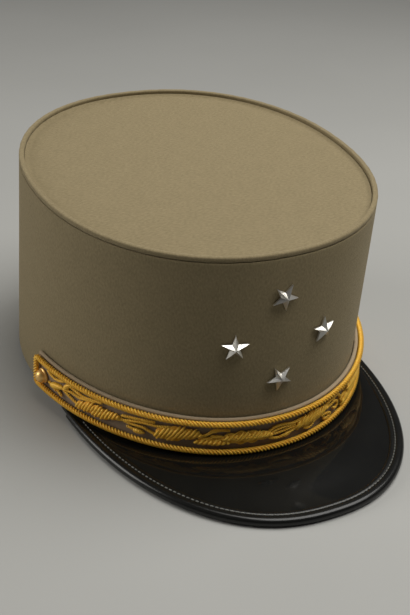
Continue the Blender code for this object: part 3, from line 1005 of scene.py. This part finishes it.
# Columns: root's length and height, direction, length, half width, curl, lobes, edge strands
LEAVES = (
    (-99.0, 5.9, 14, 18.0, 3.4, 0.02, 3, 0),
    (-88.8, 6.4, 14, 16.0, 3.3, 0.0, 3, 0),
    (-56.0, 7.6, 14, 21.0, 4.6, -0.12, 3, 0),
    (-38.5, 6.7, -4, 16.0, 1.7, 0.06, 2, 0),
    (-25.5, 8.9, 2, 22.5, 3.5, -0.06, 4, 2),
    (9.0, 9.4, 5, 20.0, 4.2, -0.02, 3, 0),
    (42.0, 5.4, 8, 17.0, 3.4, 0.03, 3, 0),
    (47.0, 11.0, -4, 17.0, 3.2, 0.03, 3, 2),
    (61.0, 7.8, 6, 20.0, 4.6, -0.04, 3, 0),
    (80.0, 9.4, -5, 18.0, 4.0, 0.03, 4, 2),
    (97.0, 8.2, 8, 17.0, 4.0, -0.02, 3, 0),
)

# Columns: middle's length and height, direction, length, width, rings
BUDS = (
    (-113.8, 8.4, 17, 11.5, 3.4, 7),
    (-105.8, 12.4, 46, 6.4, 2.9, 4),
    (-64.0, 5.7, -3, 6.4, 2.6, 5),
    (-29.0, 12.7, 14, 6.0, 1.9, 6),
    (-28.5, 9.4, -10, 6.0, 1.8, 6),
    (4.8, 6.0, 20, 5.6, 2.2, 5),
    (33.4, 12.6, -20, 5.0, 2.0, 5),
    (59.0, 4.8, 10, 7.0, 2.6, 6),
    (74.0, 13.0, -8, 7.0, 2.4, 6),
    (88.0, 4.8, 8, 7.0, 2.6, 6),
    (113.5, 6.0, -20, 7.0, 2.6, 6),
    (116.0, 11.2, 12, 8.0, 2.6, 6),
)

# Routes of the stems and tendrils, as points of length and height
STEMS = (
    ((-122, 13.6), (-119.3, 12.6), (-115.5, 12.0), (-112.5, 12.6), (-108.5, 14.0)),
    ((-121, 7.4), (-117.5, 6.4), (-114.0, 5.2)),
    ((-109.5, 9.4), (-103, 10.6), (-97, 10.4), (-92.5, 11.6), (-87, 12.9)),
    ((-105.5, 14.1), (-99, 12.8), (-94.3, 12.2), (-89.3, 13.1), (-83, 13.9)),
    ((-113.6, 6.3), (-111.6, 5.4), (-109.6, 4.3)),
    ((-109, 9.4), (-105.5, 8.0), (-101, 6.6), (-97.5, 5.8)),
    ((-83, 6.0), (-77.3, 8.0), (-71.8, 9.3), (-66.5, 10.6), (-61, 11.4), (-55, 11.4), (-49, 12.4)),
    ((-75, 10.4), (-70, 8.9), (-66, 8.7), (-61.5, 8.6), (-57.3, 7.0), (-52.5, 6.3), (-47, 5.4)),
    ((-73, 11.6), (-67, 12.3), (-61, 12.9), (-56, 13.2)),
    ((-70, 6.8), (-66.5, 6.1), (-62, 6.0)),
    ((-37, 8.8), (-33, 8.1), (-29, 7.7), (-24, 8.8)),
    ((-36, 9.4), (-33.6, 10.2), (-30.6, 12.2), (-26, 13.3), (-22.5, 13.0)),
    ((-34, 8.2), (-31.5, 8.8), (-28.3, 9.9), (-25.0, 9.2)),
    ((-24, 8.9), (-15, 9.5), (-5, 8.1), (1, 8.4), (9.5, 9.2)),
    ((-5, 9.6), (-2.4, 11.6), (2.3, 12.0), (7.7, 11.2), (12, 12.0)),
    ((-4, 8.2), (-1.2, 9.9), (4, 10.4), (9, 9.9)),
    ((-5, 6.6), (0, 5.4), (4.5, 6.2), (9.4, 7.9)),
    ((13.6, 6.6), (16, 4.9), (18.6, 5.0), (20.4, 7.2), (24, 7.4)),
    ((27, 10.9), (31.6, 9.8), (34.5, 10.4), (37.6, 8.9), (38.3, 6.8), (36.2, 5.7), (34.4, 7.0)),
    ((25, 7.0), (29, 6.6), (32.2, 4.9), (30.2, 3.9), (27, 4.5)),
    ((28, 12.0), (34, 13.2), (38, 12.4), (40.6, 9.8), (41.2, 6.8)),
    ((40, 8.4), (46, 8.8), (53, 9.0), (61, 8.4)),
    ((42, 12.6), (50, 13.9), (58, 13.3), (64, 12.2)),
    ((44, 4.6), (51, 4.0), (58, 4.4), (64, 6.2)),
    ((62, 8.4), (72, 9.9), (81, 9.4), (90, 8.4), (98, 8.6)),
    ((64, 5.4), (71, 4.2), (78, 5.0), (84, 6.6)),
    ((78, 12.0), (86, 13.7), (94, 12.8), (100, 10.8)),
    ((92, 5.2), (99, 4.2), (106, 4.8), (111, 6.6)),
    ((98, 8.6), (106, 9.8), (114, 9.0), (120, 9.0)),
    ((102, 13.2), (109, 13.6), (114, 12.4), (119.5, 12.6)),
)


def leaf_ropes(row):
    """The midrib of one leaf and the wavy strands along its two edges, where it has them."""
    if not row[7]:
        return []
    midrib = leaf_frame(row, np.linspace(-0.05, 0.95, 6))[0]
    spine, _, aside, half_width = leaf_frame(row, np.linspace(0.02, 1, 5 * row[6] + 2))
    edges = [spine + side * half_width * aside for side in (-1, 1)]
    return [twisted(midrib, LEAF_ROPE_RADIUS, LEAF_ROPE_LAY, PADDING)] + [
        twisted(edge, LEAF_ROPE_RADIUS, LEAF_ROPE_LAY, EDGE_ROPE_SEAT) for edge in edges]


def add_gold_work(name, parts, finish=leaf_gold, replaced=()):
    """Lay many closed tubes on the strap as one piece."""
    return make_piece(name, laid(np.concatenate(parts)), finish, replaced)


add_gold_work("oak_leaves", [leaf(row) for row in LEAVES], replaced=("oak_embroidery",))
add_gold_work("oak_padding", [padding(row) for row in LEAVES], pad_gold)
ropes = [twisted(np.array(route) * MM, STEM_RADIUS, STEM_LAY) for route in STEMS]
add_gold_work("oak_stems", ropes + [rope for row in LEAVES for rope in leaf_ropes(row)])
add_gold_work("oak_buds", [bud(row) for row in BUDS])

# %% [markdown]
# The two buttons are turned: a profile of radius and height is spun about an axis that stands square on
# the drum. A low rim, a groove and a dome catch the light in three rings.

# %% Buttons
BUTTON_DIAMETER = 7.8 * MM
BUTTON_HEIGHT = 4.4 * MM
BUTTON_DROP = 1.8 * MM
BUTTON_SIDES = 64

# Columns: share of the radius, share of the height
BUTTON_PROFILE = (
    (0.0, 0.0), (0.93, 0.0), (0.99, 0.05), (1.0, 0.12), (0.985, 0.2), (0.94, 0.25), (0.9, 0.26),
    (0.875, 0.3), (0.86, 0.4), (0.80, 0.58), (0.70, 0.73), (0.56, 0.86), (0.40, 0.94), (0.22, 0.985),
    (0.08, 1.0), (0.0, 1.0),
)


def drum_frame(angle, rise, out):
    """A point outside the drum, with its directions to the left, up the wall and outwards."""
    left = unit(on_drum(angle + SMALL_STEP, rise, out) - on_drum(angle - SMALL_STEP, rise, out))
    up = on_drum(angle, rise + SMALL_STEP, out) - on_drum(angle, rise - SMALL_STEP, out)
    up = unit(up - left * np.dot(up, left))
    return on_drum(angle, rise, out), left, up, np.cross(left, up)


def add_button(name, side):
    """Spin the button's profile about the outward direction, just inside the end of the border cord."""
    length = STRAP_LENGTH / 2 - CORD_DIAMETER - GAP - BUTTON_DIAMETER / 2
    angle = float(strap_angles(np.array(side * length)))
    rise = STRAP_RISE * math.sin(angle) ** 2 + BORDER_HEIGHT / 2 - BUTTON_DROP
    spot, left, up, face = drum_frame(angle, rise, FACE)
    across, lift = circle(BUTTON_SIDES)
    disc = across[:, None] * left + lift[:, None] * up
    radii, heights = (np.array(BUTTON_PROFILE) * [BUTTON_DIAMETER / 2, BUTTON_HEIGHT]).T[..., None, None]
    points = spot + radii * disc + heights * face
    return make_piece(name + "_turned", points, button_gilt, (name,), sharp=50)


add_button("button_left", 1)
add_button("button_right", -1)

# %% [markdown]
# The peak is a crescent of varnished leather. Its inner edge lies under the wall, its outer edge inside
# the binding. Rows run from one to the other, so the surface has no seam that would break a reflection.

# %% Peak
PEAK_ROOT = 0.025
PEAK_TUCK = 2.3 * MM
PEAK_ROUNDNESS = 2.29
PEAK_THICKNESS = 2.0 * MM
PEAK_DOME = 2.0 * MM
PEAK_END_WIDTH = 3.0 * MM
BINDING_WIDTH = 7.0 * MM
BINDING_THICKNESS = 4.2 * MM
BINDING_WALL = 1.2 * MM
PEAK_STATIONS = 241
TUCKED_ROWS = 4
OPEN_ROWS = 36
SHELF_SHARE = 0.6
SEAT_BLEND = 0.5


def rim_line(angles):
    """The peak's rim seen from above: half a rounded oval that springs from the side of the base."""
    half_width = BASE_WIDTH / 2 - PEAK_TUCK
    reach = BASE_LENGTH / 2 + PEAK_PROJECTION - PEAK_ROOT
    return oval(2 * reach, 2 * half_width, PEAK_ROUNDNESS, angles) + np.array([PEAK_ROOT, 0.0])


def rim_plan(angles, inset):
    """The rim moved inwards by the inset."""
    return rim_line(angles) - outward(rim_line, angles) * np.asarray(inset)[..., None]


def clear_of_base(plan):
    """Distance from points of a plan to the base oval, counted positive outside it."""
    ring = base_line(np.linspace(0, 2 * math.pi, EDGE_SAMPLES))
    level = (np.abs(plan / (np.array([BASE_LENGTH, BASE_WIDTH]) / 2)) ** BASE_ROUNDNESS).sum(axis=-1)
    away = np.linalg.norm(plan[..., None, :] - ring, axis=-1).min(axis=-1)
    return np.where(level > 1, 1, -1) * away


def rim_angle_at(distance):
    """Angle at which the rim has come within a distance of the base oval, near the peak's end."""
    angles = np.radians(np.linspace(30, 89.5, EDGE_SAMPLES))
    return float(np.interp(distance, clear_of_base(rim_line(angles))[::-1], angles[::-1]))


def base_angle_near(spot):
    """Angle of the base oval's point nearest to a spot on the wearer's left."""
    angles = np.linspace(0, math.pi / 2, EDGE_SAMPLES)
    return float(angles[np.linalg.norm(base_line(angles) - spot, axis=1).argmin()])


def add_peak():
    """Rows from under the wall to the slot in the binding, and back underneath."""
    edge_inset = BINDING_WALL + GAP
    end = rim_angle_at(PEAK_END_WIDTH + edge_inset - WALL)
    base_end = base_angle_near(rim_plan(np.array([end]), np.array([edge_inset]))[0])
    turn = np.sin(np.linspace(-math.pi / 2, math.pi / 2, PEAK_STATIONS))
    base, away = base_line(turn * base_end), outward(base_line, turn * base_end)
    inner, start = base - WALL * away, base + GAP * away
    edge = rim_plan(turn * end, np.full(PEAK_STATIONS, edge_inset))
    room = np.linalg.norm(edge - start, axis=1)
    shelf = np.minimum(BINDING_WIDTH + GAP - edge_inset, room * SHELF_SHARE)
    stop = edge + (start - edge) * (shelf / room)[:, None]
    tucked = np.linspace(0, 1, TUCKED_ROWS)[:, None, None]
    free = np.linspace(0, 1, OPEN_ROWS)[1:, None, None]
    plan = np.concatenate([inner + tucked * (start - inner), start + free * (stop - start),
                           (stop + tucked * (edge - stop))[1:]])
    share = np.concatenate([0 * tucked, free, 0 * tucked[1:] + 1])[..., 0]
    seat = base_height(plan[..., 0]) - GAP
    level = np.minimum((BINDING_THICKNESS + PEAK_THICKNESS) / 2, seat)
    blend = (1 - SEAT_BLEND) * share * share * (3 - 2 * share) + SEAT_BLEND * share
    dome = PEAK_DOME * np.clip(room / PEAK_PROJECTION, 0, 1) * np.sin(math.pi * share) ** 2
    upper = lifted(plan, seat + blend * (level - seat) + dome)
    points = np.concatenate([upper, upper[::-1] - np.array([0, 0, PEAK_THICKNESS]), upper[:1]])
    points = capped(points.swapaxes(0, 1)).swapaxes(0, 1)
    return make_piece("peak_plate", points, peak_varnish, ("peak",), sharp=60)


add_peak()

# %% [markdown]
# The binding wraps the peak's edge. It is a strip of the same leather, flat where it is stitched down
# and rolled over a cord at the rim, so its section is drawn as a flat lip, a groove for the stitches and
# a round outer bead.

# %% Peak binding
BINDING_STATIONS = 361
BEAD_STEPS = 17
LIP_THICKNESS = 0.75 * MM
LIP_LEAN = 0.6

# Columns: share of the flat part, height in mm over the top of the bead, or over the lip
BEAD_FOOT = ((0.05, -0.02), (0.16, -0.12))
LIP_TOP = ((0.27, -0.05), (0.36, -0.22), (0.45, -0.05), (0.58, 0.08), (0.76, 0.04), (0.9, -0.1),
           (0.97, -0.3), (1.0, -0.55))
LIP_ROUNDING = ((0.1 * MM, 0.35 * MM), (0.5 * MM, 0.0))


def lip_inset(width, share):
    """Inset of the lip's top at a share of its flat part, which starts a little under the bead."""
    radius = BINDING_THICKNESS / 2
    return 2 * radius + (width - 2 * radius) * share - radius * (1 - share) * LIP_LEAN


def binding_section(width):
    """Inset and height of the binding's closed outline, for each station's width."""
    radius = BINDING_THICKNESS / 2
    slot = PEAK_THICKNESS / 2 + GAP
    one = np.ones_like(width)
    bend = np.radians(np.linspace(-90, 90, BEAD_STEPS))
    insets, heights = [one * (radius - radius * np.cos(bend))], list(radius + radius * np.sin(bend))
    for table, level in ((BEAD_FOOT, 2 * radius), (LIP_TOP, radius + PEAK_THICKNESS / 2 + LIP_THICKNESS)):
        insets += [lip_inset(width, share) for share, _ in table]
        heights += [level + height * MM for _, height in table]
    insets += [width, one * BINDING_WALL, one * BINDING_WALL, width]
    heights += [radius + slot, radius + slot, radius - slot, radius - slot]
    insets += [width - inset for inset, _ in LIP_ROUNDING]
    heights += [height for _, height in LIP_ROUNDING]
    insets = np.concatenate(insets, axis=1)
    return np.concatenate([insets, insets[:, :1]], axis=1), np.array(heights + heights[:1])


def add_peak_binding():
    """Carry the outline along the rim and close it at both ends."""
    end = rim_angle_at(BINDING_THICKNESS + GAP)
    angles = np.linspace(-end, end, BINDING_STATIONS)
    width = np.minimum(BINDING_WIDTH, clear_of_base(rim_line(angles)) - GAP)[:, None]
    inset, up = binding_section(width)
    sections = capped(lifted(rim_plan(angles[:, None] + 0 * inset, inset), up))
    return make_piece("peak_edge_binding", sections, binding_varnish, ("peak_binding",),
                      sharp=60)


add_peak_binding()

# %% [markdown]
# A line of stitches holds the binding down. Each stitch is a short closed tube that lies in the groove
# and dips into the leather at both ends.

# %% Binding stitches
STITCH_PITCH = 2.3 * MM
STITCH_LENGTH = 1.75 * MM
STITCH_RADIUS = 0.33 * MM
STITCH_DIP = 0.25 * MM
STITCH_STATIONS = 7
STITCH_SIDES = 6
THREAD_LOW = (0.09, 0.09, 0.08)
THREAD_HIGH = (0.19, 0.19, 0.17)
GROOVE_SHARE = 0.36
GROOVE_HEIGHT = BINDING_THICKNESS / 2 + PEAK_THICKNESS / 2 + 0.6 * MM


def thread():
    """Waxed thread: grey and a little shiny."""
    made, tree, shader = new_finish("waxed_thread", 0.45)
    paint(tree, shader, mottle(tree, object_place(tree), 1.5 * MM), THREAD_LOW, THREAD_HIGH)
    return made


def add_stitches():
    """Spread stitches evenly along the groove: each follows the groove's line under a cosine arch."""
    end = rim_angle_at(BINDING_WIDTH + 2 * GAP)
    inset = np.full(EDGE_SAMPLES, lip_inset(BINDING_WIDTH, GROOVE_SHARE))
    line = rim_plan(np.linspace(-end, end, EDGE_SAMPLES), inset)
    run = run_along(line)
    count = int(run[-1] / STITCH_PITCH)
    step = np.linspace(-1, 1, STITCH_STATIONS)
    at = ((np.arange(count) + 0.5) * run[-1] / count)[:, None] + step * STITCH_LENGTH / 2
    up = GROOVE_HEIGHT + STITCH_RADIUS - STITCH_DIP * (1 - np.cos(math.pi / 2 * step))
    radii = np.broadcast_to(STITCH_RADIUS * round_ends(STITCH_STATIONS), at.shape)
    stitches = tubes(lifted(read_off(line, run, at), up), radii, STITCH_SIDES)
    print("stitches:", count)
    return make_piece("peak_stitches", stitches, thread())


add_stitches()

# %% [markdown]
# Each rank star is die-struck from silver: five arms with a sharp ridge down each and a crease between
# them. In polar terms it is a cone whose foot is the star's outline, so rows run from the outline up to
# the point, and the columns keep to the ridges and creases.

# %% Stars
STAR_DIAMETER = 13.2 * MM
STAR_INNER_DIAMETER = 5.0 * MM
STAR_EDGE = 0.8 * MM
STAR_RELIEF = 3.3 * MM
STAR_SPREAD = 22.4 * MM
STAR_HIGH = 82.4 * MM
STAR_MIDDLE = 59.8 * MM
STAR_LOW = 40.5 * MM
STAR_ARMS = 5
STAR_STEPS = 9
STAR_FULLNESS = 1.2
RIDGE_BEVEL = 0.38 * MM

# Columns: name, share of the spread to the wearer's left, height, turn anticlockwise in degrees
STARS = (
    ("star_top", -0.04, STAR_HIGH, 187),
    ("star_bottom", -0.01, STAR_LOW, 171),
    ("star_left", 1, STAR_MIDDLE, 0),
    ("star_right", -1, STAR_MIDDLE, 0),
)


def add_star(name, spread, height, turn):
    """Rows: the middle of the back, the outline, the edge, then up to the point in full, rounded arms."""
    angles = np.linspace(-math.pi / 3, math.pi / 3, EDGE_SAMPLES)
    ring = on_drum(angles, height - foot_and_head(angles)[0][:, 2], 0.0)
    angle = np.interp(spread * STAR_SPREAD, ring[:, 1], angles)
    spot, left, up, face = drum_frame(angle, height - foot_and_head(angle)[0][2], GAP)
    corners = np.arange(2 * STAR_ARMS + 1)
    around = (math.radians(turn) + corners * math.pi / STAR_ARMS)[:, None]
    radii = np.where(corners % 2 == 0, STAR_DIAMETER, STAR_INNER_DIAMETER) / 2
    tips = radii[:, None] * (np.cos(around) * up - np.sin(around) * left)
    outline = read_off(tips, corners, np.linspace(0, 2 * STAR_ARMS, 2 * STAR_ARMS * STAR_STEPS + 1))
    steps = np.linspace(0, 1, STAR_STEPS)[:, None, None]
    lift = STAR_EDGE + (1 - (1 - steps) ** STAR_FULLNESS) * (STAR_RELIEF - STAR_EDGE)
    points = np.concatenate([0 * outline[None], outline[None], (1 - steps) * outline + lift * face])
    made = make_piece(name + "_struck", spot + points, star_silver, (name,), sharp=24)
    bevel = made.modifiers.new("soft_ridges", "BEVEL")
    bevel.width, bevel.segments = RIDGE_BEVEL, 3
    bevel.limit_method, bevel.angle_limit = "ANGLE", math.radians(15)
    return made


for row in STARS:
    add_star(*row)
